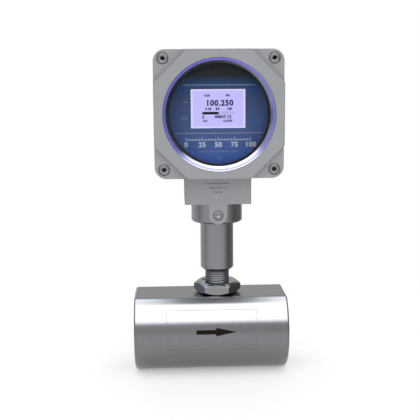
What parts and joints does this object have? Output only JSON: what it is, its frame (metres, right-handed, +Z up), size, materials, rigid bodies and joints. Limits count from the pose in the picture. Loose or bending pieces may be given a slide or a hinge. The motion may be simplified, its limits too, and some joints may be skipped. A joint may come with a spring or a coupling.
{
  "type": "turbine flow meter",
  "caption": "Inline turbine flow meter: round steel body with threaded ports and a bladed rotor, and a square display head that swivels on an upright stem.",
  "frame": {"origin": "centre of the foot flat under the body, halfway between the ports", "axes": "+X along the bore in the flow direction, +Z up along the stem, the display looks towards -Y"},
  "size_m": [0.1, 0.0693, 0.2084],
  "materials": {
    "body_steel": "finely turned stainless steel",
    "nut_steel": "bright turned stainless steel",
    "stem_steel": "bead-blasted stainless steel",
    "ring_steel": "spring steel",
    "cast_grey": "die casting with satin grey paint",
    "bezel_metal": "polished",
    "accent_violet": "satin violet",
    "screw_steel": "bright plated",
    "glass": "clear toughened glass",
    "seal_rubber": "matt black",
    "clamp_black": "black glass-filled",
    "dial_print": "dark blue printed plate",
    "lcd": "lit lavender screen",
    "lamp_white": "white light guide",
    "board_green": "lacquered circuit board",
    "chip_black": "moulded resin",
    "can_aluminium": "sleeved can",
    "terminal_green": "moulded",
    "ribbon_grey": "flat cable",
    "cable_black": "sheathed cable",
    "rotor_steel": "magnetic stainless steel, machined",
    "guide_steel": "stainless steel, machined",
    "carbide": "ground carbide",
    "coil_copper": "enamelled copper wire",
    "bobbin_plastic": "moulded",
    "magnet_dark": "sintered magnet",
    "resin_black": "potting resin"
  },
  "bodies": {
    "meter_body": {"body": "body_steel", "snap_rings": "ring_steel", "inlet_guide": "guide_steel", "outlet_guide": "guide_steel", "inlet_bush": "carbide", "outlet_bush": "carbide", "pickup_barrel": "nut_steel", "pole_piece": "rotor_steel", "coil_bobbin": "bobbin_plastic", "coil_winding": "coil_copper", "magnet": "magnet_dark", "potting_plug": "resin_black", "signal_cable": "cable_black", "stem": "stem_steel", "stem_clip": "ring_steel", "neck_seal": "seal_rubber"},
    "rotor": {"rotor": "rotor_steel", "rotor_shaft": "carbide"},
    "lock_nut": {"lock_nut": "nut_steel"},
    "head": {"housing": "cast_grey", "neck": "cast_grey", "neck_screws": "screw_steel", "tab_screw": "screw_steel", "cover_seal": "seal_rubber", "front_cover": "cast_grey", "cover_screws": "screw_steel", "bezel_ring": "bezel_metal", "accent_ring": "accent_violet", "window_gasket": "seal_rubber", "window_glass": "glass", "clamp_ring": "clamp_black", "dial_plate": "dial_print", "lcd_panel": "lcd", "backlight": "lamp_white", "display_board": "board_green", "dial_posts": "bobbin_plastic", "display_screws": "screw_steel", "board_spacers": "nut_steel", "main_board": "board_green", "processor_chip": "chip_black", "capacitors": "can_aluminium", "terminal_block": "terminal_green", "ribbon_cable": "ribbon_grey", "preamp_board": "board_green", "preamp_screws": "screw_steel", "pickup_socket": "chip_black"}
  },
  "joints": [
    {"name": "rotor_spin", "type": "hinge", "parent": "meter_body", "child": "rotor", "pos_m": [0.0049, 0, 0.02683], "axis": [1, 0, 0], "continuous": true},
    {"name": "lock_nut_turn", "type": "hinge", "parent": "meter_body", "child": "lock_nut", "pos_m": [0.0049, 0, 0.05433], "axis": [0, 0, 1], "range_deg": [0, 360]},
    {"name": "head_swivel", "type": "hinge", "parent": "meter_body", "child": "head", "pos_m": [0.0049, 0, 0.12183], "axis": [0, 0, 1], "range_deg": [-175, 175]}
  ]
}
